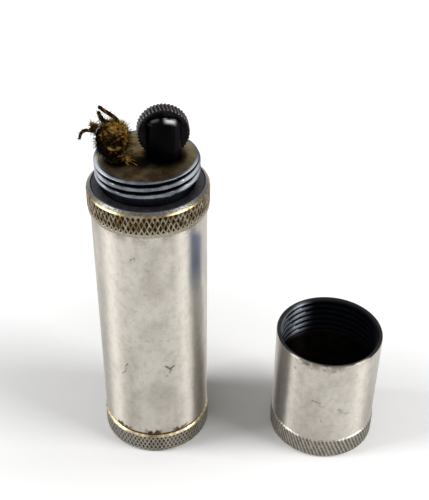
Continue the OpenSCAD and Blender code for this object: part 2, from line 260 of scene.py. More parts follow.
def turned(profile, angles, centre=(0, 0), relief=None):
    """Points, faces and cut depth of a turned form whose closed profile runs anticlockwise."""
    shape = np.array(profile, float)
    rows = len(shape)
    cols = len(angles)
    r = np.repeat(shape[:, :1], cols, axis=1)
    z = np.repeat(shape[:, 1:], cols, axis=1)
    a = np.repeat(np.asarray(angles)[None, :], rows, axis=0)
    cut = np.zeros_like(r)
    if relief:
        r, z, cut = relief(a, r, z)
    points = np.stack([centre[0] + r * np.cos(a), centre[1] + r * np.sin(a), z], -1)
    index = np.arange(rows * cols).reshape(rows, cols)
    on_axis = shape[:, 0] == 0
    index[on_axis] = index[on_axis][:, :1]
    faces = []
    for i in range(rows):
        j = (i + 1) % rows
        if on_axis[i] and on_axis[j]:
            continue
        for k in range(cols):
            m = (k + 1) % cols
            corners = [index[i, k], index[i, m], index[j, m], index[j, k]]
            faces.append(list(dict.fromkeys(int(c) for c in corners)))
    return tidy(points.reshape(-1, 3), faces, cut.reshape(-1))


def tidy(points, faces, values):
    """The same form without the points that no face uses."""
    used = sorted({c for f in faces for c in f})
    place = {old: new for new, old in enumerate(used)}
    return points[used], [[place[c] for c in f] for f in faces], values[used]


def placed(name, data):
    """A new object in the scene."""
    thing = bpy.data.objects.new(name, data)
    bpy.context.scene.collection.objects.link(thing)
    return thing


def surface(name, points, faces):
    """A mesh from points in mm."""
    mesh = bpy.data.meshes.new(name)
    mesh.from_pydata((np.asarray(points) * MM).tolist(), [], faces)
    return mesh


def dress(mesh, values, sharp):
    """Writes values per point on a mesh and shades it, smooth up to a sharp angle in degrees."""
    for key, data in values.items():
        layer = mesh.attributes.new(key, "FLOAT", "POINT")
        layer.data.foreach_set("value", np.asarray(data, np.float32))
    mesh.polygons.foreach_set("use_smooth", [True] * len(mesh.polygons))
    mesh.set_sharp_from_angle(angle=math.radians(sharp))


def make(name, points, faces, material, body, node=None, values=None, sharp=32):
    """A finished piece from points in mm, with its values per point. It rides on its body."""
    mesh = surface(name, points, faces)
    dress(mesh, values or {}, sharp)
    mesh.materials.append(material)
    piece = placed(name, mesh)
    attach(piece, body)
    if node:
        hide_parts(node)
    return piece


def lathe(name, profile, angles, material, body, node=None, centre=(0, 0),
          relief=None, values=None, sharp=32):
    """A turned piece. Values is a function that works out more values from the points."""
    points, faces, cut = turned(profile, angles, centre, relief)
    marks = {"cut": cut}
    if values:
        marks.update(values(points))
    return make(name, points, faces, material, body, node, marks, sharp)


def ring_faces(rows, cols):
    """Faces between rings of points in a row, with both ends closed."""
    faces = []
    for i in range(rows - 1):
        for k in range(cols):
            m = (k + 1) % cols
            faces.append([i * cols + k, i * cols + m, (i + 1) * cols + m, (i + 1) * cols + k])
    last = (rows - 1) * cols
    return faces + [list(range(cols))[::-1], list(range(last, last + cols))]


def tube(path, radius, sides=6):
    """Points and faces of a round tube along a path, with closed ends. The radius may vary."""
    path = np.asarray(path, float)
    radius = np.broadcast_to(np.asarray(radius, float), (len(path),))
    way = along(path)
    side = np.zeros_like(path)
    guess = np.array([0.31, 0.87, 0.38])
    for i in range(len(path)):
        across = guess - way[i] * (guess @ way[i])
        if np.linalg.norm(across) < 0.05:
            across = np.cross(way[i], [1, 0.2, 0.1])
        guess = across / np.linalg.norm(across)
        side[i] = guess
    up = np.cross(way, side)
    turn = full_circle(sides)[None, :, None]
    rim = side[:, None] * np.cos(turn) + up[:, None] * np.sin(turn)
    points = (path[:, None] + rim * radius[:, None, None]).reshape(-1, 3)
    return points, ring_faces(len(path), sides)


def joined(parts):
    """One set of points, faces and values from several (points, faces, values) sets."""
    faces = []
    start = 0
    for points, part_faces, _ in parts:
        faces += [[c + start for c in f] for f in part_faces]
        start += len(points)
    return np.concatenate([p[0] for p in parts]), faces, np.concatenate([p[2] for p in parts])


def cut_away(piece, points, faces):
    """Takes a solid given by its points and faces out of a piece."""
    cutter = placed("cutter", surface("cutter", points, faces))
    change = piece.modifiers.new("cut", "BOOLEAN")
    change.operation = "DIFFERENCE"
    change.solver = "EXACT"
    change.object = cutter
    bake(piece)
    bpy.data.objects.remove(cutter)


def bake(piece):
    """Makes a piece's modifiers part of its mesh."""
    bpy.context.view_layer.update()
    graph = bpy.context.evaluated_depsgraph_get()
    mesh = bpy.data.meshes.new_from_object(
        piece.evaluated_get(graph), preserve_all_data_layers=True, depsgraph=graph
    )
    piece.modifiers.clear()
    piece.data = mesh


def rod(x, y, lo, hi, r, sides=48):
    """Points and faces of a plain upright cylinder for cutting."""
    return turned(ring(0, r, lo, hi), full_circle(sides), (x, y))[:2]


def slot_cut(piece, half_length, half_width, lo, hi):
    """Cuts a slot along X through the axis of the post and the flint."""
    corners = [(x, y, z) for x in (POST_X - half_length, POST_X + half_length)
               for y in (-half_width, half_width) for z in (lo, hi)]
    cut_away(piece, corners, BLOCK_FACES)


def laid_over(points):
    """Points turned from a Z axis to the axle's place and direction."""
    return np.stack([points[:, 0] + POST_X, -points[:, 2], points[:, 1] + WHEEL_Z], -1)


# Relief: knurls and screw threads

def knurl(lo, hi, wall_r, count, rise, depth, second=1):
    """Two crossing sets of ridges on a wall, with pits between. The second may be weaker."""
    def relief(a, r, z):
        band = (r > wall_r - 0.12) & (z > lo) & (z < hi)
        climb = (z - lo) / rise
        u = tri(a * count / TURN + climb)
        v = tri(a * count / TURN - climb)
        ridge = np.maximum(1 - u, (1 - v) * second)
        pit = np.clip((1 - ridge) * 2.1 - 0.4, 0, 1)
        edge = np.minimum(smooth(z, lo, lo + 0.1), 1 - smooth(z, hi - 0.1, hi))
        cut = np.where(band, pit * edge, 0)
        return r - depth * cut, z, cut
    return relief


def thread(lo, hi, r_lo, r_hi, crest, depth, out=1, run=0.3, pitch=SCREW_PITCH):
    """A right-handed thread in a round wall: out is 1 outside and -1 in a bore.
    Crest is the height of a crest on the +X side."""
    def relief(a, r, z):
        band = (r > r_lo) & (r < r_hi) & (z > lo) & (z < hi)
        groove = smooth(tri((z - crest) / pitch - a / TURN), 0.38, 0.78)
        ends = np.minimum(smooth(z, lo, lo + run), 1 - smooth(z, hi - run, hi))
        cut = np.where(band, groove * ends, 0)
        return r - out * depth * cut, z, cut
    return relief


# Materials

class Graph:
    """Short calls for the nodes of a material or a world."""

    def __init__(self, owner):
        owner.use_nodes = True
        self.tree = owner.node_tree
        self.tree.nodes.clear()

    def feed(self, value, socket):
        """Links a node's output to a socket, or writes a number, colour tuple or vector list."""
        if isinstance(value, bpy.types.NodeSocket):
            self.tree.links.new(value, socket)
        else:
            socket.default_value = (*value, 1) if isinstance(value, tuple) else value

    def add(self, kind, inputs=(), **settings):
        """A new node with its properties set and its inputs fed."""
        node = self.tree.nodes.new("ShaderNode" + kind)
        for key, given in settings.items():
            setattr(node, key, given)
        for socket, given in dict(inputs).items():
            self.feed(given, node.inputs[socket])
        return node

    def maths(self, work, a, b):
        return self.add("Math", {0: a, 1: b}, operation=work).outputs[0]

    def times(self, a, b):
        return self.maths("MULTIPLY", a, b)

    def plus(self, a, b):
        return self.maths("ADD", a, b)

    def mix(self, amount, a, b):
        """Colour a, with colour b laid over it by amount."""
        return self.add("Mix", {0: amount, 6: a, 7: b}, data_type="RGBA").outputs[2]

    def span(self, value, lo, hi, low=0, high=1):
        """Maps lo to hi onto low to high, softly and clamped."""
        given = enumerate((value, lo, hi, low, high))
        return self.add("MapRange", given, interpolation_type="SMOOTHSTEP").outputs[0]


class Finish(Graph):
    """A material under construction, from a first colour with others laid over it."""

    def __init__(self, name, colour):
        self.material = bpy.data.materials.new(name)
        super().__init__(self.material)
        self.shader = self.add("BsdfPrincipled")
        self.add("OutputMaterial", {0: self.shader.outputs[0]})
        self.place = self.add("TexCoord").outputs["Object"]
        self.colour = colour

    def noise(self, size, detail=3, stretch=(1, 1, 1), shift=0):
        """Noise whose lumps are about size mm across, longer where stretch is above 1."""
        move = self.add("Mapping", {
            "Vector": self.place, "Location": [shift, shift * 0.7, shift * 1.3],
            "Scale": [1 / (size * MM * s) for s in stretch]})
        given = {"Vector": move.outputs[0], "Scale": 1, "Detail": detail}
        return self.add("TexNoise", given).outputs["Fac"]

    def cloud(self, size, lo, hi, detail=4, shift=0, stretch=(1, 1, 1), low=0, high=1):
        """Soft patches: noise with its range from lo to hi mapped onto low to high."""
        return self.span(self.noise(size, detail, stretch, shift), lo, hi, low, high)

    def value(self, name):
        """A value that the mesh carries per point."""
        return self.add("Attribute", attribute_name=name).outputs["Fac"]

    def over(self, amount, tint):
        """Lays a tint over the colour so far."""
        self.colour = self.mix(amount, self.colour, tint)

    def give(self, **inputs):
        """Feeds inputs of the shader, named with _ in place of each blank."""
        for name, given in inputs.items():
            self.feed(given, self.shader.inputs[name.replace("_", " ")])

    def bump(self, height, depth):
        """Surface relief: depth is in mm at full height."""
        self.give(Normal=self.add("Bump", {"Distance": depth * MM, "Height": height}).outputs[0])

    def brushed(self):
        """Fine lines round the Z axis, which stretch a highlight upwards."""
        lines = self.add("Tangent", direction_type="RADIAL", axis="Z").outputs[0]
        self.give(Tangent=lines, Anisotropic=1, Anisotropic_Rotation=0.25)

    def done(self, roughness, metallic=1, gloss=0.5, sheen=0):
        self.give(Base_Color=self.colour, Roughness=roughness, Metallic=metallic,
                  Specular_IOR_Level=gloss, Sheen_Weight=sheen)
        return self.material


def darker(colour, share):
    return tuple(c * share for c in colour)


def plated(name, shift=0, bore=False):
    """Satin nickel plate: cloudy, brushed, speckled and scuffed, with marks, brown stains and a
    painted bluish reflection. A bore is very dark, darker in its thread grooves as painted
    shade, with painted bluish light on the thread at one side, and brown below it."""
    f = Finish(name, PLATE_LIGHT)
    cloud = f.cloud(5, 0.35, 0.68, 4, shift, (1, 1, 1.8))
    haze = f.cloud(1.1, 0.4, 0.75, 4, shift + 3, (1, 1, 1.4))
    lines = f.noise(0.22, 2, (9, 9, 0.6), shift + 7)
    f.over(cloud, PLATE_DULL)
    f.over(f.times(haze, 0.4), darker(PLATE_DULL, 0.72))
    f.over(f.cloud(0.3, 0.64, 0.7, 2, shift + 11, (1, 1, 1.2), high=0.35), (0.14, 0.11, 0.08))
    f.over(f.cloud(0.25, 0.66, 0.74, 1, shift + 14, (5, 5, 1), high=0.22), (0.2, 0.18, 0.15))
    stain = f.times(f.value("stain"), f.cloud(0.6, 0.3, 0.5, 4, shift))
    f.over(stain, BROWN_DIRT)
    mark = f.times(f.value("mark"), f.cloud(0.3, 0.36, 0.52, 3, shift + 2, low=0.35))
    f.over(mark, BLACK_DIRT)
    # Painted reflection of dark things nearby, bluish
    f.over(f.value("tarnish"), (0.165, 0.18, 0.225))
    rough = f.plus(f.span(cloud, 0, 1, 0.28, 0.35), f.times(lines, 0.08))
    rough = f.plus(rough, f.times(f.plus(stain, mark), 0.25))
    if bore:
        # The bore's thread: very dark, darker in the grooves as painted shade, with painted bluish
        # light at one side
        thread_light_and_shade = f.mix(f.span(f.value("cut"), 0.1, 0.7), (0.006, 0.007, 0.01), (0.0015, 0.0015, 0.002))
        thread_light_and_shade = f.mix(f.value("lit"), thread_light_and_shade, (0.34, 0.37, 0.43))
        brown = f.mix(f.cloud(1.5, 0.4, 0.65, 4, 40), (0.01, 0.008, 0.004), (0.003, 0.0025, 0.002))
        inside = f.value("inside")
        f.over(inside, f.mix(f.value("low"), thread_light_and_shade, brown))
        f.over(f.value("rim"), (0.028, 0.029, 0.028))
        rough = f.plus(rough, f.times(inside, 0.06))
    f.brushed()
    f.bump(f.plus(f.times(lines, 0.4), f.times(f.plus(haze, mark), -0.6)), 0.006)
    return f.done(rough)


def knurled(name, light, pit, stained, shift=0, bare_and_highlight=BARE_BRASS):
    """Knurled plate: worn ridges, pits darkened by dirt and painted shade, brown patches, and a
    bare edge laid partly where painted highlights fall.
    """
    f = Finish(name, light)
    grain = f.cloud(0.3, 0.35, 0.7, 3, shift + 5)
    patch = f.cloud(0.9, 0.38, 0.58, 5, shift, low=0.2)
    f.over(f.times(grain, 0.55), darker(light, 0.5))
    stain = f.times(f.value("stain"), patch)
    f.over(stain, stained)
    # Pits darkened by dirt and painted shade
    clogged = f.cloud(0.45, 0.36, 0.56, 2, shift + 8, low=0.55)
    deep = f.span(f.value("cut"), 0.08, 0.6)
    f.over(f.times(deep, clogged), f.mix(stain, pit, darker(stained, 0.22)))
    f.over(f.value("slate"), f.mix(grain, (0.13, 0.13, 0.122), (0.065, 0.063, 0.058)))
    # Bare edge where worn, also laid where painted highlights fall
    f.over(f.times(f.value("wear"), f.cloud(1, 0.36, 0.56, 3, shift + 2, low=0.25)), bare_and_highlight)
    f.over(f.value("grime"), BROWN_DIRT)
    f.bump(f.plus(grain, f.times(patch, -0.5)), 0.01)
    return f.done(f.plus(f.span(deep, 0, 1, 0.3, 0.6), f.times(grain, 0.1)))


def head_metal(name):
    """Blue-grey turned metal: painted shade in the grooves and below the thread, painted
    highlights on the thread at two sides, brown and sooty on the flat top with painted
    shadow between the wick and the post.
    """
    f = Finish(name, (0.18, 0.14, 0.078))
    top = f.value("top")
    rings = f.noise(0.16, 2, (10, 10, 0.5), 2)
    grain = f.cloud(0.28, 0.42, 0.7, 3, 9)
    f.over(f.cloud(1.9, 0.36, 0.66, 5, 4), (0.078, 0.046, 0.02))
    f.over(f.value("pale"), (0.25, 0.225, 0.155))
    f.over(f.times(grain, 0.5), (0.035, 0.026, 0.016))
    # Sooty darkening round the wick and post, partly painted shadow, most of all between them
    f.over(f.value("soot"), (0.009, 0.007, 0.006))
    plate = f.colour
    f.colour = (0.17, 0.183, 0.205)
    f.over(f.cloud(1.6, 0.35, 0.7, 4, 1), (0.09, 0.097, 0.112))
    # Painted highlights on the thread at two sides, painted shade in its grooves and on the relief
    # below it
    f.over(f.value("bright"), (0.52, 0.545, 0.59))
    f.over(f.span(f.value("cut"), 0.1, 0.6), (0.006, 0.006, 0.009))
    f.over(f.value("shade"), f.mix(rings, (0.006, 0.006, 0.01), (0.03, 0.03, 0.045)))
    f.over(top, plate)
    f.bump(f.plus(rings, f.times(grain, 0.6)), 0.008)
    f.give(Specular_Tint=(0.4, 0.4, 0.4))
    return f.done(f.plus(f.span(top, 0, 1, 0.24, 0.4), f.times(rings, 0.12)))


def inner_metal(name, light, dull, roughness, shift=0):
    """Plain turned metal with fine lines and a little tarnished darkening."""
    f = Finish(name, light)
    cloud = f.cloud(1.8, 0.35, 0.7, 4, shift)
    lines = f.noise(0.14, 2, (8, 8, 0.7), shift + 3)
    f.over(cloud, dull)
    f.over(f.cloud(0.4, 0.6, 0.72, 3, shift + 8, high=0.5), darker(dull, 0.35))
    f.bump(lines, 0.008)
    return f.done(f.plus(f.span(cloud, 0, 1, roughness, roughness + 0.14), f.times(lines, 0.1)))


def gun_black(name):
    """Smooth blackened steel with smears and dust, and a painted highlight of bare metal on the
    dome's edge.
    """
    f = Finish(name, (0.0006, 0.0006, 0.0008))
    smear = f.cloud(1.4, 0.4, 0.75, 4, 3, (1, 1, 2.2))
    f.over(smear, (0.0018, 0.0016, 0.0017))
    f.over(f.cloud(0.22, 0.66, 0.76, 2, 6, high=0.3), (0.01, 0.009, 0.008))
    # Painted highlight: bright bare metal on the dome's edge
    wear = f.value("wear")
    f.over(wear, (0.8, 0.8, 0.82))
    f.bump(smear, 0.004)
    return f.done(f.span(smear, 0, 1, 0.22, 0.34), wear, 0.02)


def wheel_metal(name):
    """Sooty hardened steel: dark faces and roots, bright worn tooth edges."""
    f = Finish(name, (0.012, 0.0105, 0.0105))
    wear = f.value("wear")
    grain = f.noise(0.18, shift=5)
    f.over(f.cloud(0.7, 0.35, 0.7, 4, 2), (0.006, 0.005, 0.0055))
    f.over(f.times(wear, f.span(grain, 0.3, 0.6, 0.35)), (0.15, 0.13, 0.122))
    f.over(f.span(f.value("cut"), 0.2, 0.7), (0.012, 0.0105, 0.01))
    f.bump(grain, 0.012)
    return f.done(f.span(wear, 0, 1, 0.42, 0.3))


def washer_stuff(name, pale, dull, shift, roughness):
    """Washer of rubber or fibre with a dusty, slightly cracked face."""
    f = Finish(name, pale)
    cloud = f.cloud(0.9, 0.35, 0.7, 4, shift)
    rings = f.cloud(0.2, 0.5, 0.7, 4, shift + 4, (4, 4, 0.6))
    f.over(cloud, dull)
    f.over(f.times(rings, 0.4), darker(pale, 0.4))
    f.bump(f.maths("SUBTRACT", cloud, rings), 0.02)
    return f.done(f.span(cloud, 0, 1, roughness, roughness + 0.15), 0, 0.3)


def yarn_stuff(name):
    """Cotton yarn: ochre where its tone is high, dark brown where it is low."""
    f = Finish(name, (0.008, 0.0055, 0.004))
    patch = f.times(f.maths("SUBTRACT", f.noise(0.9, shift=2), 0.5), 2.6)
    tone = f.plus(f.value("tone"), patch)
    hue = f.value("hue")
    strand = f.noise(0.07, shift=6)
    f.over(f.span(tone, 0, 0.4), f.mix(hue, (0.05, 0.033, 0.01), (0.09, 0.035, 0.008)))
    f.over(f.span(tone, 0.35, 0.95), f.mix(hue, (0.52, 0.37, 0.092), (0.55, 0.25, 0.035)))
    f.over(f.span(strand, 0.55, 0.75, 0, 0.12), (0.16, 0.1, 0.03))
    f.bump(strand, 0.05)
    return f.done(0.95, 0, 0.02)


def fluff(name, pale, dull, size):
    """Packed cotton or pressed felt: matt, clumped, with a fibre grain."""
    f = Finish(name, pale)
    clump = f.cloud(size, 0.35, 0.7, 4, 1)
    fibre = f.noise(0.12, 4, (1, 1, 3), 5)
    f.over(clump, dull)
    f.over(f.span(fibre, 0.5, 0.75, 0, 0.5), darker(dull, 0.6))
    f.bump(f.plus(clump, fibre), 0.08)
    return f.done(0.95, 0, 0.2, 0.2)


# Marks, stains, wear and painted light, worked out point by point

def polar(points, centre=(0, 0)):
    """Bearing in degrees, radius and height of points about an upright axis."""
    x, y, z = (points - (*centre, 0)).T
    return np.degrees(np.arctan2(y, x)), np.hypot(x, y), z


def patches(bearing, *given):
    """Greatest of several soft patches, each a (middle, half width, strength) in degrees."""
    out = np.zeros(len(bearing))
    for middle, half, strength in given:
        away = np.abs((bearing - middle + 180) % 360 - 180) / half
        out = np.maximum(out, strength * (1 - smooth(away, 0.35, 1.1)))
    return out


def painted(bearing, z, r, strokes):
    """Strength of dark strokes, each a short path of (bearing, height), a width and a strength."""
    arc = np.radians(bearing) * r
    out = np.zeros(len(z))
    for path, width, strength in strokes:
        places = [(math.radians(b) * r, h) for b, h in path]
        for (a0, z0), (a1, z1) in zip(places, places[1:] or places):
            da = a1 - a0
            dz = z1 - z0
            t = np.clip(((arc - a0) * da + (z - z0) * dz) / max(da * da + dz * dz, 1e-9), 0, 1)
            away = np.hypot(arc - a0 - t * da, z - z0 - t * dz)
            out = np.maximum(out, strength * (1 - smooth(away, width * 0.4, width)))
    return out


TUBE_STROKES = [
    ([(-122.5, 21.3), (-125.2, 20.5), (-125, 19.9)], 0.2, 0.6),
    ([(-125.5, 19.4), (-127.4, 18.9), (-130.2, 18.4)], 0.22, 0.5),
    ([(-81.5, 21.3), (-77.3, 20.6), (-72.7, 20.95)], 0.21, 0.85),
    ([(-77, 20.6), (-76, 20.2)], 0.26, 0.8),
    ([(-77.6, 19.8)], 0.24, 0.6),
    ([(-80.6, 19)], 0.24, 0.8),
    ([(-108.6, 44.7)], 0.24, 0.5),
    ([(-113, 43.9), (-111, 44.6)], 0.16, 0.4),
    ([(-99, 42.6), (-95, 42.3)], 0.15, 0.3),
    ([(-95, 36.5)], 0.2, 0.35),
    ([(-101, 27.6), (-98, 27.3)], 0.14, 0.35),
    ([(-66, 31), (-65.2, 29.8)], 0.14, 0.3),
    ([(-88, 14.2)], 0.2, 0.35),
    ([(35, 30), (38, 26.5)], 0.16, 0.4),
    ([(120, 22), (123, 24), (129, 24.4)], 0.18, 0.4),
    ([(160, 38)], 0.25, 0.4),
]

CAP_STROKES = [
    ([(-140.3, 20.2)], 0.42, 0.6),
    ([(-128.9, 22.4), (-125, 22.3)], 0.35, 0.6),
    ([(-106.9, 21.9)], 0.36, 0.5),
    ([(-99, 21.6), (-96, 21.8)], 0.28, 0.45),
    ([(-116.5, 14.2), (-108, 13.8)], 0.18, 0.6),
    ([(-111, 13.3), (-103, 12.9)], 0.16, 0.35),
    ([(-87, 12.4), (-84, 11.4)], 0.5, 0.3),
    ([(-80, 11.2), (-75.5, 10.9)], 0.35, 0.25),
    ([(-105.1, 9.5)], 0.27, 0.5),
    ([(-104.3, 16.8)], 0.18, 0.35),
    ([(-76, 9.9)], 0.2, 0.3),
    ([(40, 15), (46, 13)], 0.2, 0.4),
    ([(110, 18)], 0.3, 0.4),
]


def tube_values(points):
    """Marks on the tube, grime along its foot, stains under the collar and a painted bluish
    reflection band.
    """
    bearing, r, z = polar(points)
    skin = r > TUBE_R - 0.1
    turn = np.radians(bearing)
    reach = 0.85 + 0.3 * np.sin(turn * 23) + 0.25 * np.sin(turn * 61 + 1)
    foot = patches(bearing, (-134, 14, 1), (-97, 11, 1), (-66, 11, 0.9), (20, 25, 0.7), (115, 30, 0.7))
    foot *= 1 - smooth(z - TUBE_LO, reach * 0.5, reach * 1.2)
    seam = 0.75 * (1 - smooth(z - TUBE_LO, 0.05, 0.3))
    under = patches(bearing, (-130, 16, 0.4), (-102, 10, 0.3), (-75, 8, 0.25), (-50, 10, 0.4),
                    (30, 30, 0.4), (140, 30, 0.4)) * smooth(z, COLLAR_LO - 2.2, COLLAR_LO)
    edge = 0.8 * smooth(z, COLLAR_LO - 0.2, COLLAR_LO)
    # Painted reflection: a dark bluish band up the tube's right front
    band = patches(bearing, (-42, 13, 1)) * smooth(z, 32, 42)
    band *= 1 - smooth(z + 0.12 * (bearing + 42), 46, 48.5)
    return {"stain": np.maximum.reduce([foot, seam, under, edge]) * skin, "tarnish": band * skin,
            "mark": np.maximum(painted(bearing, z, TUBE_R, TUBE_STROKES), 0.6 * foot * skin)}


def collar_values(points):
    """Bare brass along the collar's rim, strongest where painted highlights fall, with brown grime
    elsewhere on it, a slate bevel inside it and brown stains below.
    """
    bearing, r, z = polar(points)
    high = smooth(z, KNURL_HI - 0.12, KNURL_HI + 0.02)
    edge = r - COLLAR_SHOULDER_R
    rim = smooth(edge, -0.09, -0.01) * high
    # Bright rim: painted highlights at both front sides, bare wear elsewhere
    bright = patches(bearing, (-134, 24, 0.7), (-62, 22, 0.8), (-90, 24, 0.3), (20, 50, 0.7),
                     (110, 50, 0.7))
    stain = patches(bearing, (-119, 12, 1), (-104, 8, 0.9), (-92, 5, 0.9), (-65, 10, 1),
                    (-52, 8, 0.7), (40, 30, 0.9), (130, 40, 0.9))
    rise = smooth(z, KNURL_LO, KNURL_LO + 1.1)
    return {"wear": rim * bright, "slate": (1 - smooth(edge, -0.11, -0.03)) * high,
            "stain": np.maximum(0.88, stain) * (0.08 + 0.92 * rise),
            "grime": rim * (1 - bright) * 0.5}


def base_values(points):
    """Bare brass on the base's upper bevel, brown where grime has run over it."""
    bearing, r, z = polar(points)
    bevel = smooth(z, BASE_H - 0.42, BASE_H - 0.34) * (r > BASE_R - 0.57) * (z < BASE_H + 0.1)
    grime = patches(bearing, (-124, 9, 0.6), (-98, 9, 0.8), (-84, 3, 0.5), (-64, 8, 0.6),
                    (10, 12, 0.7), (120, 15, 0.7))
    grime = np.maximum(grime, 0.45 * np.sin(np.radians(bearing) * 23) ** 2)
    stain = patches(bearing, (-95, 14, 0.6), (-50, 14, 0.6), (60, 40, 0.6))
    return {"wear": bevel * (1 - grime), "grime": bevel * grime * 0.7,
            "stain": np.maximum(0.25, stain)}


def head_values(points):
    """The stained top, sooty darkening round the wick and post with painted shadow between them,
    painted shade on the relief below the thread and painted highlights on the thread.
    """
    bearing, r, z = polar(points)
    x, y = points.T[:2]
    top = smooth(z, PLATE_Z - 0.04, PLATE_Z - 0.01) * (1 - smooth(r, NECK_R - 0.65, NECK_R - 0.45))
    wick = 1 - smooth(np.hypot(x - WICK_X, y + 1.2), 1.5, 2.7)
    post = 0.9 * (1 - smooth(np.hypot(x - POST_X, y + 0.4), 3, 4.1))
    # Painted shadow between the wick and the post
    between = 0.95 * (1 - smooth(np.hypot(x + 1.1, y + 2), 1.2, 2.7))
    pale = np.maximum(0.36 * smooth(x + 0.7 * y, -1, 5), smooth(y - 0.3 * x, -3, 0.5))
    return {"top": top, "soot": np.maximum.reduce([wick, post, between]),
            "shade": 1 - smooth(z, THREAD_Z - 0.1, THREAD_Z + 0.2),
            "pale": pale * smooth(r, 5.2, 7.8),
            "bright": patches(bearing, (-165, 30, 1), (-35, 26, 0.85))}


def cap_values(points):
    """Marks and stains outside the cap, a painted bluish reflection down its left side, its dark
    rim, and in its bore painted light on the thread and brown below it.
    """
    bearing, r, z = polar(points, CAP_AT)
    skin = r > CAP_R - 0.12
    rim = smooth(z, CAP_H - 0.12, CAP_H - 0.02) * (1 - smooth(r, CAP_R - 0.06, CAP_R - 0.02))
    worn = patches(bearing, (-66, 12, 0.7), (-92, 18, 0.45), (-128, 26, 0.6))
    # Painted light on the bore's thread at one side
    lit = patches(bearing, (145, 46, 0.7)) * smooth(z, 15, 17) * (r < CAP_BORE_R + 0.08)
    dull = patches(bearing, (-125, 20, 0.55), (-95, 14, 0.5), (-60, 14, 0.3), (120, 60, 0.5))
    return {"inside": 1 - smooth(r, CAP_R - 0.45, CAP_R - 0.4), "low": 1 - smooth(z, 14.2, 16.2),
            "lit": lit, "rim": rim * (1 - worn * smooth(r, CAP_R - 0.42, CAP_R - 0.22)),
            "stain": dull * smooth(z, CAP_H - 1.9, CAP_H) * skin,
            # Painted reflection: a bluish band down the cap's left side
            "tarnish": patches(bearing, (-160, 15, 0.4)) * skin,
            "mark": painted(bearing, z, CAP_R, CAP_STROKES) * skin}


def cap_end_values(points):
    """Bright bare edges on the cap end's upper bevel, strongest at two front sides as painted
    highlights.
    """
    bearing, r, z = polar(points, CAP_AT)
    on = smooth(z, CAP_END_H - 0.46, CAP_END_H - 0.36) * (r > CAP_END_R - 0.5)
    # Painted highlights at two front sides, weaker bright patches behind
    bright = patches(bearing, (-139, 11, 0.9), (-67, 18, 0.9), (30, 40, 0.5), (150, 30, 0.5))
    return {"wear": on * bright, "stain": np.full(len(z), 0.4),
            "slate": 0.9 * (r < CAP_PLUG_R + 0.05) * (z > 0.5)}


# Pieces of the case

def build_tank_tube(material):
    profile = fine(eased(ring(TUBE_BORE_R, TUBE_R, TUBE_LO, TUBE_HI), 0.1), 0.17, outside(TUBE_R))
    lathe("tank_tube_skin", fine(profile, 6), bearings(-165, -25, 1, 4), material, "case",
          "tank_tube", values=tube_values)


def build_collar(material):
    profile = [
        [SLEEVE_R, COLLAR_LO], [COLLAR_LAND_R - 0.1, COLLAR_LO], [COLLAR_LAND_R, COLLAR_LO + 0.12],
        [COLLAR_LAND_R, KNURL_LO - 0.06], [COLLAR_R, KNURL_LO + 0.04],
        [COLLAR_R, KNURL_HI], [COLLAR_SHOULDER_R, CASE_H - 0.5], [COLLAR_MOUTH_R + 0.1, CASE_H],
        [COLLAR_MOUTH_R, CASE_H - 0.1], [COLLAR_MOUTH_R, TUBE_HI + 0.03], [SLEEVE_R, TUBE_HI + 0.03]
    ]
    profile = fine(eased(profile, 0.05), KNURL_STEP, outside(COLLAR_R))
    lathe("collar_knurl", fine(profile, 0.07, z=outside(KNURL_HI)), full_circle(COLLAR_RIDGES * 12),
          material, "case", "collar", values=collar_values,
          relief=knurl(KNURL_LO, KNURL_HI, COLLAR_R, COLLAR_RIDGES, rise=1.84, depth=0.24))


def build_head(material):
    profile = [
        [SKIRT_BORE_R, SKIRT_Z], [SKIRT_R, SKIRT_Z], [SKIRT_R, TUBE_HI], [FLANGE_R, TUBE_HI],
        [FLANGE_R, FLANGE_Z], [RELIEF_R, FLANGE_Z], [RELIEF_R, THREAD_Z], [NECK_R, THREAD_Z + 0.35],
        [NECK_R, PLATE_Z - 0.2], [NECK_R - 0.35, PLATE_Z], [0, PLATE_Z],
        [0, PLATE_Z - PLATE_T], [NECK_BORE_R, PLATE_Z - PLATE_T], [NECK_BORE_R, TUBE_HI],
        [SKIRT_BORE_R, TUBE_HI]
    ]
    profile = fine(eased(profile, 0.06), 0.07, (NECK_R - 0.4, FAR), outside(THREAD_Z))
    screw = thread(THREAD_Z + 0.3, PLATE_Z - 0.06, NECK_R - 0.38, NECK_R + 0.1, CREST_Z, 0.6, run=0.15)
    piece = lathe("head_turned", fine(profile, 0.4, z=outside(PLATE_Z)), full_circle(288), material,
                  "case", "burner_head", relief=screw, values=head_values)
    for x, r in ((WICK_X, GUIDE_R), (POST_X, FOOT_R)):
        cut_away(piece, *rod(x, 0, 55, 60, r + 0.03))


def build_washer(name, r_in, r_out, lo, hi, material, body, node):
    profile = eased(ring(r_in, r_out, lo, hi), (hi - lo) * 0.36)
    lathe(name, profile, full_circle(144), material, body, node)


def build_base_bush(material):
    profile = eased(ring(BUSH_BORE_R, SKIRT_R, TUBE_LO + 0.05, BUSH_HI), 0.12)
    profile = fine(profile, 0.12, (0, BUSH_BORE_R + 0.01))
    screw = thread(TUBE_LO - 0.6, BUSH_HI + 0.6, 0, BUSH_BORE_R + 0.05, TUBE_LO, 0.45, -1)
    lathe("bush_ring", profile, full_circle(144), material, "case", "base_bush",
          relief=screw)


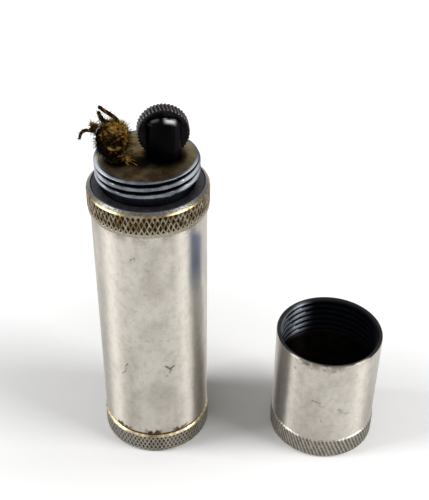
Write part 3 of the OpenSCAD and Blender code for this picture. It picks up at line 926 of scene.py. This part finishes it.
def build_base(material):
    profile = disc(BASE_R, BASE_H, BASE_CHAMFER) + [
        [BASE_SCREW_R - 0.4, BASE_H], [BASE_SCREW_R - 0.4, BASE_H + 0.5],
        [BASE_SCREW_R, BASE_H + 0.8], [BASE_SCREW_R, BASE_SCREW_TOP - 0.35],
        [BASE_SCREW_R - 0.35, BASE_SCREW_TOP], [BASE_HOLLOW_R, BASE_SCREW_TOP],
        [BASE_HOLLOW_R, BASE_FLOOR], [0, BASE_FLOOR]
    ]
    profile = fine(eased(profile, 0.06), KNURL_STEP, outside(BASE_R))
    net = knurl(0.35, BASE_H - 0.4, BASE_R, BASE_RIDGES, rise=1.57, depth=0.2)
    screw = thread(BASE_H + 0.5, BASE_SCREW_TOP + 0.3, BASE_SCREW_R - 0.05, BASE_SCREW_R + 0.05,
                   TUBE_LO, 0.4)

    def relief(a, r, z):
        r_net, _, cut_net = net(a, r, z)
        r_screw, _, cut_screw = screw(a, r, z)
        return np.minimum(r_net, r_screw), z, np.maximum(cut_net, cut_screw)

    profile = fine(profile, 0.13, outside(BASE_SCREW_R), (BASE_H, FAR))
    lathe("base_turned", profile, full_circle(BASE_RIDGES * 11), material, "base",
          "base_cap", relief=relief, values=base_values)


# Striker

def build_post(material):
    dome_z = PLATE_Z + POST_H - DOME_R
    inward = POST_R - SHOULDER_R
    upward = math.sqrt((DOME_R - SHOULDER_R) ** 2 - inward ** 2)
    meet = math.atan2(upward, inward)
    profile = [[0, PLATE_Z - FOOT_H], [FOOT_R, PLATE_Z - FOOT_H], [FOOT_R, PLATE_Z],
               [POST_R - 0.12, PLATE_Z], [POST_R, PLATE_Z + 0.12]]
    profile += arc_points((inward, dome_z + upward), SHOULDER_R, 0, meet, 6)
    profile += arc_points((0, dome_z), DOME_R, meet, math.pi / 2, 22)[1:]
    profile[-1][0] = 0
    points, faces, _ = turned(profile, full_circle(144), (POST_X, 0))
    piece = make("post_body", points, faces, material, "case", "wheel_post")
    slot_cut(piece, 6, SLOT_W / 2, PLATE_Z, PLATE_Z + 9)
    cut_away(piece, *rod(POST_X, 0, PLATE_Z - 4, PLATE_Z + 1, FLINT_TUBE_R + 0.03))
    pin, faces = rod(0, 0, -4, -1, AXLE_R + 0.04, 32)
    cut_away(piece, laid_over(pin), faces)
    edge = piece.modifiers.new("edge", "BEVEL")
    edge.width = 0.1 * MM
    edge.segments = 2
    edge.limit_method = "ANGLE"
    edge.angle_limit = math.radians(38)
    bake(piece)
    places = np.array([v.co for v in piece.data.vertices]) / MM
    dress(piece.data, {"wear": post_painted_highlight(places)}, 50)


def post_painted_highlight(points):
    """Painted highlights on the dome beside the slot, laid as bare steel: strong right of the
    middle, faint on the left.
    """
    x = points[:, 0] - POST_X
    y = np.abs(points[:, 1])
    high = smooth(points[:, 2], PLATE_Z + POST_H - 1.4, PLATE_Z + POST_H - 0.7)
    right = np.exp(-((x - 1) / 0.8) ** 4) * (1 - smooth(y, 1.8, 2.6))
    left = 0.1 * np.exp(-((x + 1.3) / 0.6) ** 4) * (1 - smooth(y, 1.6, 2.1))
    return np.maximum(right, left) * high


def build_axle(material):
    """Riveted pin, dressed flush with the post's round sides."""
    points, faces, _ = turned(eased(ring(0, AXLE_R, -2.9, 2.9), 0.15), full_circle(48))
    make("axle_pin", laid_over(points), faces, material, "case", "wheel_axle")


def build_wheel(material):
    """Striker wheel: leaning saw-like teeth, chamfered rims, worn bright at the edges."""
    half = WHEEL_T / 2
    bore = AXLE_R + 0.04
    face = [
        (bore, 0.05), (bore + 0.05, 0), (1.7, 0), (1.85, 0.06), (3.3, 0.06), (3.42, 0),
        (WHEEL_R - 0.28, 0), (WHEEL_R - 0.17, 0), (WHEEL_R - 0.06, 0.07), (WHEEL_R, 0.16),
        (WHEEL_R, 0.3)
    ]
    rows = [(r, depth - half) for r, depth in face] + [(WHEEL_R, -0.5), (WHEEL_R, -0.2)]
    rows += [(r, -z) for r, z in rows[::-1]]
    root = WHEEL_R - TOOTH_DEPTH

    def relief(a, r, z):
        lean = math.radians(TOOTH_LEAN) * z / WHEEL_T
        t = ((a + lean) * WHEEL_TEETH / TURN) % 1
        rise = np.interp(t, [0, 0.12, 0.44, 0.5, 0.66, 0.74, 1], [0, 0, 0.9, 1, 1, 0.9, 0])
        tread = r > root - 0.01
        cut = np.where(tread, 1 - rise, 0)
        return np.where(tread, np.minimum(r, root + TOOTH_DEPTH * rise), r), z, cut

    points, faces, cut = turned(rows, full_circle(WHEEL_TEETH * 16), (0, 0), relief)
    r = np.hypot(points[:, 0], points[:, 1])
    rim = smooth(np.abs(points[:, 2]), half - 0.4, half - 0.1)
    wear = smooth(r, WHEEL_R - 0.14, WHEEL_R - 0.03) * (0.5 + 0.5 * rim)
    make("wheel_toothed", laid_over(points), faces, material, "wheel",
         "striker_wheel", {"cut": cut, "wear": wear}, 28)


# Wick: a ball of frayed yarn on a rope. Places are in mm from the guide's top on its axis.

PLY_STEPS = 34
WICK_TOP = np.array([WICK_X, 0, GUIDE_TOP])
BALL = (np.array([-0.6, -0.05, 2.85]), np.array([2.35, 2.1, 2.85]))
LOW_TUFT = (np.array([1.3, -1.5, 0.55]), np.array([0.75, 0.7, 0.7]))
KNOT = (np.array([-3.25, -0.35, 5.2]), np.array([0.6, 0.5, 0.75]))
# Places, thickness, tone and hue of each strand that stands off the ball
STRANDS = (
    ([[0.5, 0, 5.4], [0.1, 0, 6.5], [-0.7, 0, 7.25], [-1.55, 0, 7.9], [-2.35, 0, 8.6]],
     0.33, 0.14, 0.5),
    ([[-1.3, 0, 5.2], [-1.8, 0, 6.3], [-2.2, 0, 7], [-2.45, 0, 7.7]], 0.33, 0.08, 0),
    ([[-1.5, 0.1, 5], [-2, 0.1, 6.2], [-2.35, 0.1, 6.9]], 0.26, 0.05, 0),
    ([[-3, -0.3, 5], [-4, -0.3, 4.85], [-4.7, -0.3, 4.85], [-5.3, -0.3, 4.4],
      [-5.62, -0.3, 3.4]], 0.27, 0.12, 0.2),
    ([[-2.9, -0.3, 5.4], [-3.4, -0.3, 5.9], [-3.75, -0.3, 6.1]], 0.28, 0.3, 0.3),
    ([[-1.9, -1.6, 3.2], [-0.9, -2.25, 2.5], [0.3, -2.3, 2.55], [1.3, -1.75, 3.1]], 0.26, 0.3, 0.4),
    ([[-2.4, -1, 4.4], [-1.6, -1.7, 3.7], [-1, -2.05, 2.2], [-1.2, -1.9, 1]], 0.24, 0.05, 0.2),
)
LONG_FIBRES = (
    [[1.2, -1.3, 0.35], [2.1, -2.1, -0.02], [3, -3.2, -0.12]],
    [[1.3, -1.1, 0.3], [2.3, -1.5, 0], [2.9, -1.9, -0.12]],
    [[0.9, -1.5, 0.3], [1.3, -2.3, 0], [1.6, -2.9, -0.12]],
)


def on_lump(lump, bearing, rise, lift):
    """A place on an uneven lump, narrower below: rise is -90 to 90 degrees, in radians."""
    middle, half = lump
    out = abs(math.cos(rise)) ** 0.75 * (1 + 0.2 * min(math.sin(rise), 0))
    out *= 1 + 0.1 * math.sin(3 * rise) * math.cos(bearing) + 0.05 * math.sin(5 * bearing - 4 * rise)
    up = math.copysign(abs(math.sin(rise)) ** 0.95, math.sin(rise))
    way = np.array([out * math.cos(bearing), out * math.sin(bearing), up])
    return middle + way * (half + lift)


def wick_tone(place):
    """How ochre the wick is at a place: lighter towards the top and the right, darker towards the
    foot.
    """
    share = (place - BALL[0]) / BALL[1]
    steep = 0.9 if share[2] > 0 else 0.6
    return -0.24 + steep * share[2] + 0.34 * share[0] - 0.03 * share[1]


def coloured(points, faces, tone, hue):
    """Points and faces with a tone and hue for every point."""
    return points, faces, np.stack(np.broadcast_arrays(tone, hue, np.zeros(len(points)))[:2], -1)


def core(rng, lump, tone):
    """The dark body of a lump, uneven all over."""
    rows = 22
    cols = 32
    waves = [(rng.uniform(2, 7), rng.randint(2, 6), rng.uniform(0, TURN)) for _ in range(7)]
    points = []
    for i in range(rows):
        rise = (i / (rows - 1) - 0.5) * 3.1
        for a in full_circle(cols):
            bumps = sum(math.sin(w * rise + n * a + p) for w, n, p in waves) / 7
            points.append(on_lump(lump, a, rise, -0.2 + 0.3 * bumps))
    return coloured(np.array(points), ring_faces(rows, cols), tone, 0.5)


def wandering(rng, lump, steps, lift):
    """A path that wanders over a lump."""
    a = rng.uniform(0, TURN)
    rise = math.asin(rng.uniform(-0.95, 0.98))
    round_rate = rng.uniform(-0.34, 0.34)
    climb = rng.uniform(-0.22, 0.22)
    path = []
    for _ in range(steps):
        path.append(on_lump(lump, a, rise, lift + rng.uniform(-0.06, 0.06)))
        a += round_rate + rng.uniform(-0.1, 0.1)
        rise = min(max(rise + climb + rng.uniform(-0.05, 0.05), -1.5), 1.5)
        round_rate += rng.uniform(-0.08, 0.08)
    return path


def wound_yarns(rng, lump, count, thin, thick, lighter):
    """Loose yarns laid over a lump in every direction."""
    parts = []
    ends = np.clip(np.minimum(np.arange(16), np.arange(16)[::-1]) / 3, 0.25, 1)
    for _ in range(count):
        path = curve_through(wandering(rng, lump, rng.randint(5, 9), rng.uniform(-0.12, 0.14)), 16)
        points, faces = tube(path, rng.uniform(thin, thick) * ends)
        tone = wick_tone(path[8]) + lighter + rng.uniform(-0.25, 0.25)
        parts.append(coloured(points, faces, tone, rng.random() ** 2))
    return parts


def somewhere(rng):
    return np.array([rng.uniform(-1, 1) for _ in range(3)])


def fibre(rng, start, out, length, tone):
    """A thin curled fibre that leaves a place in the given direction."""
    t = np.linspace(0, 1, 6)[:, None]
    path = start + length * (out * t + somewhere(rng) * 0.8 * t ** 2
                             + somewhere(rng) * 0.3 * np.sin(t * 6))
    return coloured(*tube(path, np.linspace(0.042, 0.02, 6), 4), tone, rng.random() ** 2)


def stray_fibres(rng, lump, count, lighter):
    """Fibres that stand off a lump."""
    parts = []
    for _ in range(count):
        start = on_lump(lump, rng.uniform(0, TURN), math.asin(rng.uniform(-0.9, 1)), -0.1)
        out = (start - lump[0]) / np.linalg.norm(start - lump[0])
        tone = wick_tone(start) + lighter + rng.uniform(-0.1, 0.25)
        parts.append(fibre(rng, start, out, rng.uniform(0.25, 0.75), tone))
    return parts


def plied_yarn(rng, places, thick, tone, hue):
    """A yarn of three twisted plies through a few places, with fibres that stand off it."""
    middle = curve_through(places, PLY_STEPS)
    side = np.cross(along(middle), [0.2, 1, 0.1])
    side /= np.linalg.norm(side, axis=1, keepdims=True)
    up = np.cross(along(middle), side)
    share = np.linspace(0, 1, PLY_STEPS)[:, None]
    fade = np.repeat(np.linspace(tone + 0.08, tone - 0.05, PLY_STEPS), 7)
    parts = []
    for ply in range(3):
        angle = TURN * (share * 2.5 + ply / 3)
        wobble = thick * (0.5 + 0.14 * np.sin(share * 19 + ply * 2))
        path = middle + wobble * (np.cos(angle) * side + np.sin(angle) * up)
        points, faces = tube(path, thick * 0.56 * (1 - 0.25 * share[:, 0] ** 3), 7)
        parts.append(coloured(points, faces, fade + rng.uniform(-0.1, 0.1), hue))
    for _ in range(36):
        start = middle[rng.randint(4, PLY_STEPS - 1)] + somewhere(rng) * thick * 0.6
        parts.append(fibre(rng, start, somewhere(rng) * 0.7, rng.uniform(0.25, 0.6), tone + 0.23))
    return parts


def make_rope(name, parts, material, node, sharp):
    """One piece of the wick from its yarns."""
    points, faces, values = joined(parts)
    make(name, points, faces, material, "case", node,
         {"tone": values[:, 0], "hue": values[:, 1]}, sharp)


def build_wick(material):
    rng = random.Random(7)
    parts = [core(rng, BALL, -0.05), core(rng, LOW_TUFT, 0.3), core(rng, KNOT, 0)]
    for lump, thick_yarns, yarns, fibres, lighter in (
            (BALL, 26, 170, 2400, 0), (LOW_TUFT, 0, 26, 190, 0.9), (KNOT, 0, 26, 70, 0.12)):
        parts += wound_yarns(rng, lump, thick_yarns, 0.18, 0.3, lighter - 0.05)
        parts += wound_yarns(rng, lump, yarns, 0.07, 0.15, lighter)
        parts += stray_fibres(rng, lump, fibres, lighter)
    for strand in STRANDS:
        parts += plied_yarn(rng, *strand)
    for places in LONG_FIBRES:
        parts.append(coloured(*tube(curve_through(places, 10), 0.045, 5), 0.8, 0.4))
    lowest = (-FAR, -FAR, PLATE_Z + 0.02)
    parts = [(np.maximum(points + WICK_TOP, lowest), faces, values)
             for points, faces, values in parts]
    make_rope("wick_frayed", parts, material, "wick", 80)
    make_rope("wick_rope", [stem_strand(k / 3) for k in range(3)], material, None, 60)


def stem_strand(turn):
    """A strand of the rope below the lump, down through the wadding."""
    z = np.linspace(WICK_LO + 0.1, GUIDE_TOP + 0.5, 150)
    a = TURN * (turn + (z - WICK_LO) / 9)
    path = np.stack([WICK_X + 0.72 * np.cos(a), 0.72 * np.sin(a), z], -1)
    return coloured(*tube(path, 0.76, 12), 0.75, 0.2)


# Pieces inside

def soft_disc(name, lo, hi, ease, uneven, material, node):
    """A soft turned piece with an uneven skin."""
    phase = np.random.default_rng(5).uniform(0, TURN, 12)

    def lumps(a, r, z):
        wave = sum(np.sin(a * (k % 5 + 2) + z * (0.4 + 0.23 * k) + phase[k]) for k in range(12)) / 12
        shrink = uneven * (0.6 + wave)
        return r - shrink * smooth(r, 4, 8), z - shrink * np.sign(z - (lo + hi) / 2), wave

    profile = fine(eased(ring(0, PACKING_R, lo, hi), ease), 0.8)
    return lathe(name, profile, full_circle(96), material, "case", node, relief=lumps, sharp=60)


def build_packing(cotton, felt):
    piece = soft_disc("cotton_packing", WADDING_LO, WADDING_HI, 1, 0.3, cotton, "wadding")
    cut_away(piece, *rod(POST_X, 0, 5, 60, FLINT_TUBE_R + 0.1, 32))
    cut_away(piece, *rod(WICK_X, 0, WICK_LO - 0.1, 60, WICK_R + 0.1, 32))
    piece = soft_disc("felt_disc", BUSH_HI, FELT_HI, 0.5, 0.08, felt, "felt_pad")
    cut_away(piece, *rod(POST_X, 0, 5, 20, SCREW_HEAD_R + 0.1, 40))


def build_spring(material):
    a = np.linspace(0, SPRING_COILS * TURN, SPRING_COILS * 20 + 1)
    z = np.interp(a, (0, a[-1]), (SPRING_LO + SPRING_WIRE_R, SPRING_HI - SPRING_WIRE_R))
    path = np.stack([POST_X + SPRING_R * np.cos(a), SPRING_R * np.sin(a), z], -1)
    points, faces = tube(path, SPRING_WIRE_R, 10)
    wire = make("spring_wire", points, faces, material, "spring", "flint_spring",
                sharp=50)
    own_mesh(wire)


def build_flint_screw(material):
    head_hi = SCREW_HEAD_LO + SCREW_HEAD_H
    profile = [[0, SCREW_HEAD_LO], [SCREW_HEAD_R - 0.15, SCREW_HEAD_LO],
               [SCREW_HEAD_R, SCREW_HEAD_LO + 0.15], [SCREW_HEAD_R, head_hi - 0.05],
               [SCREW_HEAD_R - 0.05, head_hi], [SCREW_R, head_hi], [SCREW_R, SCREW_TOP - 0.15],
               [SCREW_R - 0.15, SCREW_TOP], [0, SCREW_TOP]]
    shank = (SCREW_R - 0.01, SCREW_R + 0.01)
    relief = thread(head_hi - 0.2, SCREW_TOP + 0.2, *shank, head_hi, 0.24, pitch=0.5)
    piece = lathe("screw_slotted", fine(eased(profile, 0.05), 0.06, shank), full_circle(72),
                  material, "flint_screw", "flint_screw", (POST_X, 0), relief)
    slot_cut(piece, 4, 0.3, SCREW_HEAD_LO - 1, SCREW_HEAD_LO + 0.6)


# Cap

def build_cap_shell(material):
    profile = [
        [CAP_BORE_R, CAP_END_H], [CAP_R, CAP_END_H], [CAP_R, CAP_H - 0.1], [CAP_R - 0.1, CAP_H],
        [CAP_BORE_R + CAP_BEVEL, CAP_H], [CAP_BORE_R, CAP_H - CAP_BEVEL]
    ]
    profile = fine(eased(profile, 0.06), 0.2, outside(CAP_R))
    profile = fine(fine(profile, 0.1, (0, CAP_BORE_R + 0.02)), 3)
    relief = thread(CAP_H - 7.6, CAP_H + 0.4, CAP_BORE_R - 0.1, CAP_BORE_R + 0.2, CAP_CREST_Z, 0.45, -1)
    lathe("cap_shell", profile, bearings(-178, -35, 1, 2), material, "cap",
          "cap_tube", CAP_AT, relief, cap_values)


def build_cap_end(material):
    profile = disc(CAP_END_R, CAP_END_H, CAP_CHAMFER) + [
        [CAP_PLUG_R, CAP_END_H], [CAP_PLUG_R, CAP_PLUG_TOP], [CAP_HOLLOW_R, CAP_PLUG_TOP],
        [CAP_HOLLOW_R, CAP_FLOOR], [0, CAP_FLOOR]
    ]
    profile = fine(eased(profile, 0.07), KNURL_STEP, outside(CAP_END_R))
    relief = knurl(0.35, CAP_END_H - 0.3, CAP_END_R, CAP_RIDGES, rise=1.75, depth=0.13, second=0.55)
    lathe("cap_end_knurl", profile, full_circle(CAP_RIDGES * 11), material, "cap",
          "cap_end", CAP_AT, relief, cap_end_values)


# Stage, lights and camera

# Each lamp's name, bearing, elevation and power. Places and sizes are in metres.
LAMPS = (("lamp_left", -181, 36, 6.5), ("lamp_right", -24, 38, 5.7))
LAMP_AIM = (0.01, 0, 0.03)
LAMP_AWAY = 1
LAMP_SIZE = (0.4, 0.5)

# The floor reaches this far in mm
FLOOR_HALF = 1600

# Light from all round, and how much the floor glows near the lighter, far off and in front
FILL = 0.18
NEAR_LIFT = 0.36
FAR_LIFT = 0.6
FRONT_LIFT = 0.1

# The camera's place in mm, its angles in degrees and its focal length in pixels of the photo
CAMERA_AT = (-4.563, -125.058, 132.951)
HEADING = 7
PITCH = 36.8175
ROLL = 0.5857
FOCAL_PX = 925.6172
PHOTO_PX = 500
SENSOR = 36


def seen_rays(graph):
    """1 on camera, glossy and transmission rays."""
    path = graph.add("LightPath").outputs
    seen = graph.maths("MAXIMUM", path["Is Camera Ray"], path["Is Glossy Ray"])
    return graph.maths("MAXIMUM", seen, path["Is Transmission Ray"])


def build_floor():
    """White paper. It glows for the rays that show it, so that it is as white as the photo's."""
    sides = (-FLOOR_HALF, FLOOR_HALF)
    corners = [(x, y, z) for x in sides for y in sides for z in (-1, 0)]
    floor = placed("floor", surface("floor", corners, BLOCK_FACES))
    f = Finish("floor_paper", (0.94, 0.94, 0.94))
    paper = f.noise(0.6)
    f.over(paper, (0.96, 0.96, 0.96))
    f.bump(paper, 0.01)
    away = f.add("VectorMath", {0: f.place}, operation="LENGTH").outputs["Value"]
    front = f.add("SeparateXYZ", {0: f.place}).outputs["Y"]
    lift = f.plus(f.span(away, 0.005, 0.08, 0, NEAR_LIFT), f.span(away, 0.15, 0.8, 0, FAR_LIFT))
    lift = f.plus(lift, f.span(front, -0.022, -0.008, FRONT_LIFT, 0))
    f.give(Emission_Color=(1, 1, 1), Emission_Strength=f.times(seen_rays(f), lift))
    floor.data.materials.append(f.done(1, 0, 0))


def build_world():
    """White where the camera, glossy and clear rays see it, and a soft dim fill otherwise."""
    world = bpy.data.worlds.new("studio")
    bpy.context.scene.world = world
    graph = Graph(world)
    strength = graph.span(seen_rays(graph), 0, 1, FILL)
    back = graph.add("Background", {"Color": (1, 1, 1), "Strength": strength})
    graph.add("OutputWorld", {0: back.outputs[0]})


def build_lamps():
    for name, bearing, elevation, power in LAMPS:
        b = math.radians(bearing)
        e = math.radians(elevation)
        way = Vector((math.cos(b) * math.cos(e), math.sin(b) * math.cos(e), math.sin(e)))
        data = bpy.data.lights.new(name, "AREA")
        data.shape = "RECTANGLE"
        data.size, data.size_y = LAMP_SIZE
        data.energy = power
        lamp = placed(name, data)
        lamp.location = Vector(LAMP_AIM) + way * LAMP_AWAY
        lamp.rotation_euler = way.to_track_quat("Z", "Y").to_euler()


def build_camera():
    """The photograph's view: a turn to the right, a pitch downwards and a slight roll."""
    data = bpy.data.cameras.new("camera")
    data.sensor_fit = "AUTO"
    data.sensor_width = SENSOR
    data.lens = FOCAL_PX / PHOTO_PX * SENSOR
    data.clip_start = 0.005
    data.clip_end = 10
    camera = placed("camera", data)
    pose = Matrix.Translation(Vector(CAMERA_AT) * MM)
    for angle, axis in ((-HEADING, "Z"), (90 - PITCH, "X"), (ROLL, "Z")):
        pose = pose @ Matrix.Rotation(math.radians(angle), 4, axis)
    camera.matrix_world = pose
    bpy.context.scene.camera = camera


bpy.context.scene.view_settings.view_transform = "Standard"
build_camera()
build_world()
build_lamps()
build_floor()

brass = inner_metal("brass_finish", (0.62, 0.47, 0.21), (0.45, 0.32, 0.13), 0.28)
charred = inner_metal("charred_brass_finish", (0.03, 0.02, 0.01), (0.012, 0.009, 0.006), 0.5, 15)
steel = inner_metal("steel_finish", (0.42, 0.42, 0.43), (0.3, 0.29, 0.29), 0.3, 6)
flint_stuff = inner_metal("flint_finish", (0.2, 0.19, 0.18), (0.12, 0.11, 0.105), 0.55, 11)
black = gun_black("post_finish")
rubber = washer_stuff("washer_finish", (0.012, 0.012, 0.016), (0.02, 0.02, 0.024), 0, 0.4)
pressed = washer_stuff("fibre_finish", (0.06, 0.03, 0.016), (0.1, 0.06, 0.03), 6, 0.65)

build_tank_tube(plated("tube_finish"))
build_collar(knurled("collar_finish", (0.34, 0.305, 0.23), (0.012, 0.01, 0.007),
                     (0.095, 0.058, 0.017)))
build_head(head_metal("head_finish"))
build_washer("neck_washer", RELIEF_R + 0.04, FLANGE_R, FLANGE_Z + 0.01, FLANGE_Z + 0.5, rubber,
             "case", "neck_gasket")
build_washer("base_washer_ring", BUSH_BORE_R, GASKET_R, GASKET_LO, GASKET_HI, pressed,
             "base_washer", "base_gasket")
build_base_bush(brass)
build_base(knurled("base_finish", (0.4, 0.375, 0.33), (0.05, 0.045, 0.038), (0.18, 0.15, 0.1), 4))
build_post(black)
build_axle(black)
build_wheel(wheel_metal("wheel_finish"))
build_wick(yarn_stuff("yarn_finish"))
build_packing(fluff("cotton_finish", (0.78, 0.75, 0.66), (0.66, 0.62, 0.52), 1.6),
              fluff("felt_finish", (0.4, 0.37, 0.32), (0.28, 0.25, 0.21), 0.8))
build_spring(steel)
build_flint_screw(brass)
build_cap_shell(plated("cap_finish", 20, True))
# The cap end's whitish edge colour carries its painted highlights
build_cap_end(knurled("band_finish", (0.45, 0.42, 0.37), (0.18, 0.165, 0.145), (0.27, 0.225, 0.18),
                      9, (0.85, 0.82, 0.74)))

# The CAD nodes that keep their own shape get these finishes too
for name in ("wick_tube", "post_nut", "flint_tube", "flint_follower", "flint"):
    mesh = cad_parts[name].data
    mesh.materials.clear()
    mesh.materials.append({"flint": flint_stuff, "wick_tube": charred}.get(name, brass))
